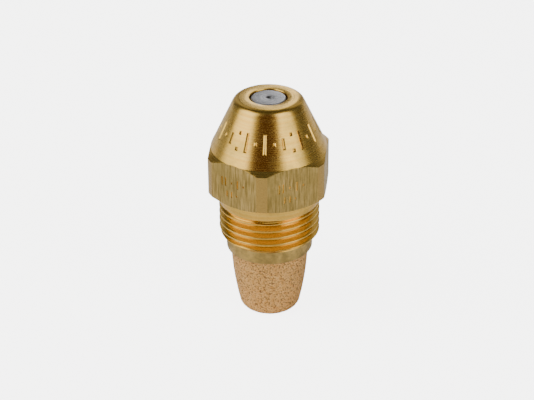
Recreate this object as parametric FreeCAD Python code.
"""Oil burner nozzle: brass body, orifice disc, distributor, retainer screw, filter fitting and filter cup.

All sizes are in millimetres. The origin lies on the nozzle's axis in the rear face of the hexagon.
+Z points to the spray tip, and two of the hexagon's flats face +X and -X.
"""
import FreeCAD
import Part
import math
import os

Vector = FreeCAD.Vector
INCH = 25.4
AXIS = Vector(0, 0, 1)

# Hexagon and nose cone, turned from 16 mm hexagon bar
HEX_ACROSS_FLATS = 16.0
HEX_CORNER_DIAMETER = 17.7
HEX_REAR_CHAMFER = 0.55
CONE_BASE_Z = 6.40
CONE_BASE_RADIUS = 8.04
CORNER_CHAMFER_ANGLE = 35.0
CONE_TOP_Z = 13.00
CONE_TOP_RADIUS = 4.96
TIP_Z = 13.68
TIP_FLAT_RADIUS = 4.05
TIP_SHOULDER_BULGE = 0.12

# Thread into the burner's nozzle adapter, 9/16-24 UNEF, and the plain band between it and the hexagon
ADAPTER_PITCH = INCH / 24
ADAPTER_CREST_RADIUS = 7.04
BAND_RADIUS = 7.00
BAND_LENGTH = 1.75
THREAD_RUN_OUT = 0.60
BODY_REAR_Z = -7.10
REAR_CHAMFER = 0.62

# Bores of the body, from the tip to the rear
TIP_HOLE_RADIUS = 2.59
TIP_RIM_CHAMFER = 0.12
DISC_SEAT_Z = 11.70
FRONT_BORE_RADIUS = 3.42
FRONT_BORE_REAR_Z = 6.75
CHAMBER_FRONT_Z = 1.20
CHAMBER_RADIUS = 4.20
CHAMBER_REAR_Z = -2.30
MOUTH_CHAMFER = 0.16

# Inner threads, both 32 to the inch: 5/16 for the retainer screw, 3/8 for the filter fitting
INNER_PITCH = INCH / 32
RETAINER_CREST_RADIUS = 5 / 16 * INCH / 2
FITTING_CREST_RADIUS = 3 / 8 * INCH / 2
SCREW_CLEARANCE = 0.06

# Orifice disc
DISC_FLANGE_RADIUS = 3.36
DISC_REAR_Z = 10.25
DISC_FACE_RADIUS = 2.44
DISC_FACE_Z = 13.62
DISC_RIM_FILLET = 0.18
ORIFICE_RADIUS = 0.20
ORIFICE_MOUTH_RADIUS = 0.42
ORIFICE_MOUTH_DEPTH = 0.16
CONE_SEAT_RADIUS = 2.20

# Distributor, whose slotted cone makes the oil swirl
DISTRIBUTOR_RADIUS = 3.34
DISTRIBUTOR_REAR_Z = 6.90
DISTRIBUTOR_SHOULDER_Z = 9.70
DISTRIBUTOR_GAP = 0.03
DISTRIBUTOR_TIP_RADIUS = 0.52
FEED_GROOVE_RADIUS = 0.55
FEED_GROOVE_COUNT = 4
FEED_CHANNEL_WIDTH = 1.00
FEED_CHANNEL_DEPTH = 0.65
SWIRL_SLOT_WIDTH = 0.36
SWIRL_SLOT_DEPTH = 0.34
SWIRL_SLOT_OFFSET = 0.45

# Retainer screw
RETAINER_REAR_Z = 2.00
RETAINER_THREAD_FRONT_Z = 6.10
RETAINER_NOSE_RADIUS = 3.20
RETAINER_HOLE_RADIUS = 1.00
RETAINER_SLOT_WIDTH = 1.00
RETAINER_SLOT_DEPTH = 1.30

# Filter fitting: threaded spigot, flange, and the socket that takes the filter cup
FITTING_FRONT_Z = -3.10
FITTING_NECK_LENGTH = 0.55
FITTING_NECK_RADIUS = 4.15
FITTING_BORE_RADIUS = 2.60
FLANGE_RADIUS = 6.12
FLANGE_REAR_RADIUS = 6.04
FLANGE_REAR_Z = -9.22
FLANGE_FRONT_CHAMFER = 0.22
FLANGE_REAR_CHAMFER = 0.16
SOCKET_FLOOR_Z = -7.72
SOCKET_CLEARANCE = 0.02

# Filter cup, sintered bronze
FILTER_RADIUS = 5.45
FILTER_MIDDLE_RADIUS = 5.08
FILTER_MIDDLE_Z = -13.70
FILTER_LOWER_RADIUS = 4.38
FILTER_LOWER_Z = -17.55
FILTER_REAR_RADIUS = 3.40
FILTER_REAR_Z = -18.90
FILTER_EDGE_BULGE = 0.24
FILTER_MOUTH_RADIUS = 4.05
FILTER_FLOOR_RADIUS = 3.10
FILTER_FLOOR_Z = -17.40
FILTER_INNER_FILLET = 0.60

# 60 degree thread form, as shares of the pitch, and the slight rounding of its crests
THREAD_DEPTH = 0.6134
CREST_WIDTH = 0.125
CREST_BULGE = 0.03
FLANK_SLOPE = math.tan(math.radians(30))


def revolved(points):
    """Solid of revolution about Z. Each point is (radius, z); a third value bulges the next edge outwards."""
    edges = []
    for start, end in zip(points, points[1:] + points[:1]):
        first = Vector(start[0], 0, start[1])
        last = Vector(end[0], 0, end[1])
        if len(start) == 2:
            edges.append(Part.makeLine(first, last))
            continue
        chord = last - first
        outward = Vector(chord.z, 0, -chord.x)
        outward.normalize()
        middle = (first + last) * 0.5 + outward * start[2]
        edges.append(Part.Arc(first, middle, last).toShape())
    return Part.Face(Part.Wire(edges)).revolve(Vector(0, 0, 0), AXIS, 360)


def polar(radius, angle, z=0.0):
    return Vector(radius * math.cos(angle), radius * math.sin(angle), z)


def threaded_rod(crest_radius, pitch, rear_z, front_z):
    """Round bar with ridges of thread form at the thread's pitch, which stand in for its helix."""
    root_radius = crest_radius - THREAD_DEPTH * pitch
    half_crest = CREST_WIDTH * pitch / 2
    half_ridge = half_crest + THREAD_DEPTH * pitch * FLANK_SLOPE
    points = [(0, rear_z), (root_radius, rear_z)]
    crest_z = rear_z + pitch / 2
    while crest_z + half_ridge < front_z:
        points += [
            (root_radius, crest_z - half_ridge),
            (crest_radius - CREST_BULGE, crest_z - half_crest, CREST_BULGE),
            (crest_radius - CREST_BULGE, crest_z + half_crest),
            (root_radius, crest_z + half_ridge),
        ]
        crest_z += pitch
    return revolved(points + [(root_radius, front_z), (0, front_z)])


def hexagon_prism(rear_z, front_z):
    corner = HEX_ACROSS_FLATS / math.sqrt(3)
    points = [polar(corner, math.radians(30 + 60 * side), rear_z) for side in range(6)]
    outline = Part.makePolygon(points + points[:1])
    return Part.Face(outline).extrude(Vector(0, 0, front_z - rear_z))


def body_outside():
    corner_radius = HEX_CORNER_DIAMETER / 2
    corner_drop = (corner_radius - CONE_BASE_RADIUS) * math.tan(math.radians(CORNER_CHAMFER_ANGLE))
    head = revolved([
        (0, 0),
        (HEX_ACROSS_FLATS / 2, 0),
        (corner_radius, HEX_REAR_CHAMFER),
        (corner_radius, CONE_BASE_Z - corner_drop),
        (CONE_BASE_RADIUS, CONE_BASE_Z),
        (CONE_TOP_RADIUS, CONE_TOP_Z, TIP_SHOULDER_BULGE),
        (TIP_FLAT_RADIUS, TIP_Z),
        (0, TIP_Z),
    ])
    head = head.common(hexagon_prism(0, TIP_Z + 1))
    root_radius = ADAPTER_CREST_RADIUS - THREAD_DEPTH * ADAPTER_PITCH
    band = revolved([
        (0, -BAND_LENGTH - THREAD_RUN_OUT),
        (root_radius, -BAND_LENGTH - THREAD_RUN_OUT),
        (BAND_RADIUS, -BAND_LENGTH),
        (BAND_RADIUS, 0),
        (0, 0),
    ])
    thread = threaded_rod(ADAPTER_CREST_RADIUS, ADAPTER_PITCH, BODY_REAR_Z, -BAND_LENGTH)
    return head.fuse([band, thread]).cut(rear_chamfer_ring())


def rear_chamfer_ring():
    outside = ADAPTER_CREST_RADIUS + 1
    inside = ADAPTER_CREST_RADIUS - REAR_CHAMFER
    return revolved([
        (inside, BODY_REAR_Z),
        (inside - 1, BODY_REAR_Z - 1),
        (outside, BODY_REAR_Z - 1),
        (outside, BODY_REAR_Z + outside - inside),
    ])


def nozzle_body():
    """The turned body with its stepped bore. The inner threads are plain bores that clear both screws."""
    retainer_bore = RETAINER_CREST_RADIUS + SCREW_CLEARANCE
    fitting_bore = FITTING_CREST_RADIUS + SCREW_CLEARANCE
    bore = revolved([
        (0, TIP_Z + 1),
        (TIP_HOLE_RADIUS + TIP_RIM_CHAMFER + 1, TIP_Z + 1),
        (TIP_HOLE_RADIUS, TIP_Z - TIP_RIM_CHAMFER),
        (TIP_HOLE_RADIUS, DISC_SEAT_Z),
        (FRONT_BORE_RADIUS, DISC_SEAT_Z),
        (FRONT_BORE_RADIUS, FRONT_BORE_REAR_Z),
        (retainer_bore, FRONT_BORE_REAR_Z),
        (retainer_bore, CHAMBER_FRONT_Z),
        (CHAMBER_RADIUS, CHAMBER_FRONT_Z),
        (CHAMBER_RADIUS, CHAMBER_REAR_Z),
        (fitting_bore, CHAMBER_REAR_Z),
        (fitting_bore, BODY_REAR_Z + MOUTH_CHAMFER),
        (fitting_bore + MOUTH_CHAMFER + 1, BODY_REAR_Z - 1),
        (0, BODY_REAR_Z - 1),
    ])
    return body_outside().cut(bore)


def orifice_disc():
    face_inner = DISC_FACE_Z - ORIFICE_MOUTH_DEPTH
    swirl_apex_z = DISC_REAR_Z + CONE_SEAT_RADIUS - ORIFICE_RADIUS
    fillet = DISC_RIM_FILLET
    return revolved([
        (CONE_SEAT_RADIUS, DISC_REAR_Z),
        (DISC_FLANGE_RADIUS, DISC_REAR_Z),
        (DISC_FLANGE_RADIUS, DISC_SEAT_Z),
        (DISC_FACE_RADIUS, DISC_SEAT_Z),
        (DISC_FACE_RADIUS, DISC_FACE_Z - fillet, fillet * (1 - math.sqrt(0.5))),
        (DISC_FACE_RADIUS - fillet, DISC_FACE_Z),
        (ORIFICE_MOUTH_RADIUS, DISC_FACE_Z),
        (ORIFICE_RADIUS, face_inner),
        (ORIFICE_RADIUS, swirl_apex_z),
    ])


def distributor():
    cone_base_z = DISC_REAR_Z
    cone_base_radius = CONE_SEAT_RADIUS - DISTRIBUTOR_GAP
    cone_tip_z = cone_base_z + cone_base_radius - DISTRIBUTOR_TIP_RADIUS
    shape = revolved([
        (0, DISTRIBUTOR_REAR_Z),
        (DISTRIBUTOR_RADIUS, DISTRIBUTOR_REAR_Z),
        (DISTRIBUTOR_RADIUS, DISTRIBUTOR_SHOULDER_Z),
        (cone_base_radius, DISTRIBUTOR_SHOULDER_Z),
        (cone_base_radius, cone_base_z),
        (DISTRIBUTOR_TIP_RADIUS, cone_tip_z),
        (0, cone_tip_z),
    ])
    cuts = []
    for number in range(FEED_GROOVE_COUNT):
        angle = 360 * number / FEED_GROOVE_COUNT
        cuts.append(turned(feed_groove(), angle))
        cuts.append(turned(swirl_slot(cone_base_radius, cone_base_z, cone_tip_z), angle + 45))
    return shape.cut(cuts)


def feed_groove():
    """One oil way: a channel across the rear face, then a groove up the side."""
    height = DISTRIBUTOR_SHOULDER_Z - DISTRIBUTOR_REAR_Z + 2
    foot = Vector(DISTRIBUTOR_RADIUS, 0, DISTRIBUTOR_REAR_Z - 1)
    groove = Part.makeCylinder(FEED_GROOVE_RADIUS, height, foot)
    corner = Vector(0, -FEED_CHANNEL_WIDTH / 2, DISTRIBUTOR_REAR_Z - 1)
    channel = Part.makeBox(DISTRIBUTOR_RADIUS + 1, FEED_CHANNEL_WIDTH, FEED_CHANNEL_DEPTH + 1, corner)
    return groove.fuse(channel)


def swirl_slot(base_radius, base_z, tip_z):
    """One slot down the cone, set off to one side of the axis so that the oil enters the tip spinning."""
    length = 4 * base_radius
    slot = Part.makeBox(length, SWIRL_SLOT_WIDTH, 2, Vector(-length / 2, 0, -SWIRL_SLOT_DEPTH))
    slot.rotate(Vector(0, 0, 0), Vector(0, 1, 0), 45)
    middle_radius = (base_radius + DISTRIBUTOR_TIP_RADIUS) / 2
    slot.translate(Vector(middle_radius, SWIRL_SLOT_OFFSET, (base_z + tip_z) / 2))
    return slot


def turned(shape, degrees):
    copy = shape.copy()
    copy.rotate(Vector(0, 0, 0), AXIS, degrees)
    return copy


def retainer_screw():
    thread = threaded_rod(RETAINER_CREST_RADIUS, INNER_PITCH, RETAINER_REAR_Z, RETAINER_THREAD_FRONT_Z)
    nose_length = DISTRIBUTOR_REAR_Z - RETAINER_THREAD_FRONT_Z
    nose = Part.makeCylinder(RETAINER_NOSE_RADIUS, nose_length, Vector(0, 0, RETAINER_THREAD_FRONT_Z))
    hole_length = DISTRIBUTOR_REAR_Z - RETAINER_REAR_Z + 2
    hole = Part.makeCylinder(RETAINER_HOLE_RADIUS, hole_length, Vector(0, 0, RETAINER_REAR_Z - 1))
    width = 4 * RETAINER_CREST_RADIUS
    corner = Vector(-width / 2, -RETAINER_SLOT_WIDTH / 2, RETAINER_REAR_Z - 1)
    slot = Part.makeBox(width, RETAINER_SLOT_WIDTH, RETAINER_SLOT_DEPTH + 1, corner)
    return thread.fuse(nose).cut([hole, slot])


def filter_fitting():
    neck_front_z = BODY_REAR_Z + FITTING_NECK_LENGTH
    thread = threaded_rod(FITTING_CREST_RADIUS, INNER_PITCH, neck_front_z, FITTING_FRONT_Z)
    flange = revolved([
        (0, neck_front_z),
        (FITTING_NECK_RADIUS, neck_front_z),
        (FITTING_NECK_RADIUS, BODY_REAR_Z),
        (FLANGE_RADIUS - FLANGE_FRONT_CHAMFER, BODY_REAR_Z),
        (FLANGE_RADIUS, BODY_REAR_Z - FLANGE_FRONT_CHAMFER),
        (FLANGE_REAR_RADIUS, FLANGE_REAR_Z + FLANGE_REAR_CHAMFER),
        (FLANGE_REAR_RADIUS - FLANGE_REAR_CHAMFER, FLANGE_REAR_Z),
        (0, FLANGE_REAR_Z),
    ])
    bore = revolved([
        (0, FITTING_FRONT_Z + 1),
        (FITTING_BORE_RADIUS, FITTING_FRONT_Z + 1),
        (FITTING_BORE_RADIUS, SOCKET_FLOOR_Z),
        (FILTER_RADIUS + SOCKET_CLEARANCE, SOCKET_FLOOR_Z),
        (FILTER_RADIUS + SOCKET_CLEARANCE, FLANGE_REAR_Z - 1),
        (0, FLANGE_REAR_Z - 1),
    ])
    return thread.fuse(flange).cut(bore)


def filter_cup():
    """Sintered cup with a gently curved side, open towards the fitting."""
    side = Part.BSplineCurve()
    side.interpolate([
        Vector(FILTER_RADIUS, 0, FLANGE_REAR_Z),
        Vector(FILTER_MIDDLE_RADIUS, 0, FILTER_MIDDLE_Z),
        Vector(FILTER_LOWER_RADIUS, 0, FILTER_LOWER_Z),
    ])
    rim_outside = Vector(FILTER_RADIUS, 0, SOCKET_FLOOR_Z)
    lower = side.EndPoint
    rear_edge = Vector(FILTER_REAR_RADIUS, 0, FILTER_REAR_Z)
    rear_centre = Vector(0, 0, FILTER_REAR_Z)
    chord = rear_edge - lower
    outward = Vector(-chord.z, 0, chord.x)
    outward.normalize()
    edge_middle = (lower + rear_edge) * 0.5 + outward * FILTER_EDGE_BULGE
    outline = [
        Part.makeLine(rim_outside, side.StartPoint),
        side.toShape(),
        Part.Arc(lower, edge_middle, rear_edge).toShape(),
        Part.makeLine(rear_edge, rear_centre),
        Part.makeLine(rear_centre, Vector(0, 0, SOCKET_FLOOR_Z)),
        Part.makeLine(Vector(0, 0, SOCKET_FLOOR_Z), rim_outside),
    ]
    outside = Part.Face(Part.Wire(outline)).revolve(Vector(0, 0, 0), AXIS, 360)
    fillet = FILTER_INNER_FILLET
    inside = revolved([
        (0, SOCKET_FLOOR_Z + 1),
        (FILTER_MOUTH_RADIUS, SOCKET_FLOOR_Z + 1),
        (FILTER_MOUTH_RADIUS, SOCKET_FLOOR_Z),
        (FILTER_FLOOR_RADIUS, FILTER_FLOOR_Z + fillet, -fillet * (1 - math.sqrt(0.5))),
        (FILTER_FLOOR_RADIUS - fillet, FILTER_FLOOR_Z),
        (0, FILTER_FLOOR_Z),
    ])
    return outside.cut(inside)


def write(name, shape):
    """Check that a piece is one sound solid, report its volume and write its STEP file."""
    solid = shape.removeSplitter()
    if len(solid.Solids) != 1 or not solid.isValid():
        raise ValueError(name + " is not one sound solid")
    solid = solid.Solids[0]
    solid.exportStep("parts/" + name + ".step")
    print(name, "volume", round(solid.Volume, 1), "mm3")


os.makedirs("parts", exist_ok=True)
write("nozzle_body", nozzle_body())
write("orifice_disc", orifice_disc())
write("distributor", distributor())
write("retainer_screw", retainer_screw())
write("filter_fitting", filter_fitting())
write("filter_cup", filter_cup())
